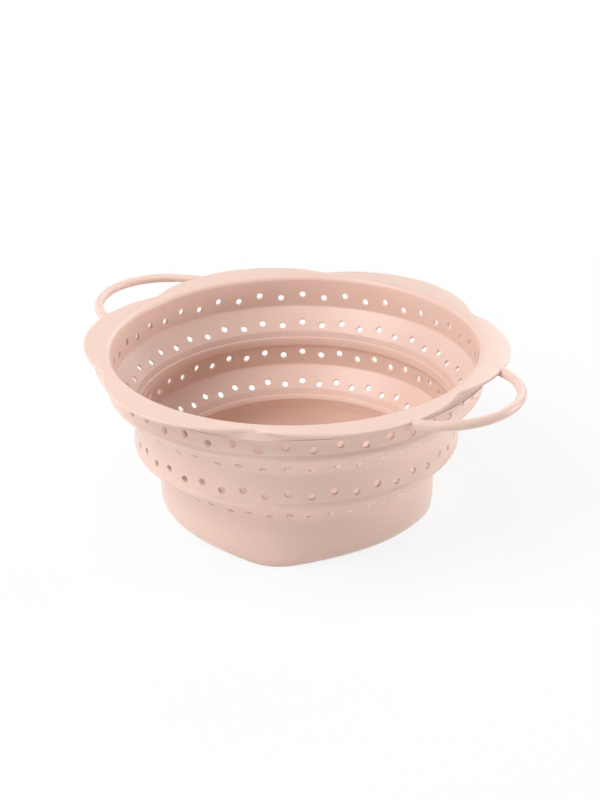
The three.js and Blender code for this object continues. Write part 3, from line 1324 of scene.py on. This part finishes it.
for side, turn_round in (("right", 0), ("left", math.pi)):
    grip = finished_piece(
        f"handle_grip_moulding_{side}", grip_mesh(side, turn_round), silicone
    )
    grip.data.shade_smooth()
    grip.data.set_sharp_from_angle(angle=SMOOTH_UP_TO)
    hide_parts(f"handle_grip_{side}")
    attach(grip, "rim")
    for end, across in (("near", -1), ("far", 1)):
        socket = finished_piece(
            f"handle_socket_{side}_{end}",
            socket_mesh(side, turn_round, across),
            silicone,
        )
        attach(socket, "rim")


# Studio


def seen_share(tree):
    """1 where the camera sees a thing, straight or in gloss or glass, and else 0."""
    path = add_node(tree, "ShaderNodeLightPath").outputs
    share = path["Is Camera Ray"]
    for kind in ("Is Glossy Ray", "Is Transmission Ray"):
        node = add_node(tree, "ShaderNodeMath", {0: share, 1: path[kind]}, operation="MAXIMUM")
        share = node.outputs[0]
    return share


def matt_floor():
    """A sheet of matt white card. It takes a soft shadow near the colander, and further out
    it burns out to white."""
    material, tree, place = new_material("Matt white card")
    fibres = noise(tree, place, 1.5, detail=3)
    tint = two_tones(tree, fibres, "#F4F4F4", "#EEEEEE")
    card = add_node(tree, "ShaderNodeBsdfDiffuse", {"Color": tint})
    glow = add_node(tree, "ShaderNodeEmission", {"Color": WHITE, "Strength": 1})
    distance = add_node(tree, "ShaderNodeVectorMath", {0: place}, operation="LENGTH")
    cover = spread(tree, distance.outputs["Value"], SHADOW_COVER, 1, SHADOW_REACH, SHADOW_END)
    share = add_node(
        tree, "ShaderNodeMath", {0: seen_share(tree), 1: cover}, operation="MULTIPLY"
    )
    seen = add_node(
        tree, "ShaderNodeMixShader", {0: share.outputs[0], 1: card.outputs[0], 2: glow.outputs[0]}
    )
    add_node(tree, "ShaderNodeOutputMaterial", {"Surface": seen.outputs[0]})
    return material


def add_floor():
    whole = bmesh.new()
    bmesh.ops.create_circle(whole, cap_ends=True, segments=CARD_SIDES, radius=CARD_RADIUS)
    mesh = bpy.data.meshes.new("floor")
    whole.to_mesh(mesh)
    whole.free()
    mesh.materials.append(matt_floor())
    floor = bpy.data.objects.new("floor", mesh)
    bpy.context.scene.collection.objects.link(floor)


def add_lamp(name, azimuth, elevation, size, power):
    """A square soft box that faces the colander. Azimuth is from the camera, to its right."""
    data = bpy.data.lights.new(name, "AREA")
    data.shape = "SQUARE"
    data.size = size
    data.energy = power
    lamp = bpy.data.objects.new(name, data)
    bpy.context.scene.collection.objects.link(lamp)
    a, e = VIEW_AZIMUTH + math.radians(azimuth), math.radians(elevation)
    away = Vector((math.sin(a) * math.cos(e), -math.cos(a) * math.cos(e), math.sin(e)))
    lamp.location = VIEW_TARGET * MM + away * LAMP_DISTANCE
    lamp.rotation_mode = "QUATERNION"
    lamp.rotation_quaternion = away.to_track_quat("Z", "Y")


def add_world():
    """White all round to the eye. As light it is full up to the horizon and fades to nothing
    at HORIZON_TOP, as from the walls of a light tent without a roof."""
    world = bpy.data.worlds.new("white light tent")
    world.use_nodes = True
    tree = world.node_tree
    tree.nodes.clear()
    direction = add_node(tree, "ShaderNodeTexCoord").outputs["Generated"]
    height = add_node(tree, "ShaderNodeSeparateXYZ", {0: direction}).outputs["Z"]
    wall = spread(tree, height, HORIZON_LIGHT, 0, 0, HORIZON_TOP)
    strength = add_node(
        tree,
        "ShaderNodeMapRange",
        {"Value": seen_share(tree), "To Min": wall, "To Max": 1},
    )
    light = add_node(
        tree, "ShaderNodeBackground", {"Color": WHITE, "Strength": strength.outputs[0]}
    )
    add_node(tree, "ShaderNodeOutputWorld", {"Surface": light.outputs[0]})
    bpy.context.scene.world = world


add_floor()
add_world()
add_lamp("key", -66, 48, 0.9, 15.4)
add_lamp("high key", -66, 68, 0.9, 4)
add_lamp("top light", 0, 86, 0.4, 3)
add_lamp("back light", 150, 32, 0.9, 6.1)
add_lamp("side light", 98, 12, 0.4, 8.5)
bpy.context.scene.view_settings.view_transform = "Standard"
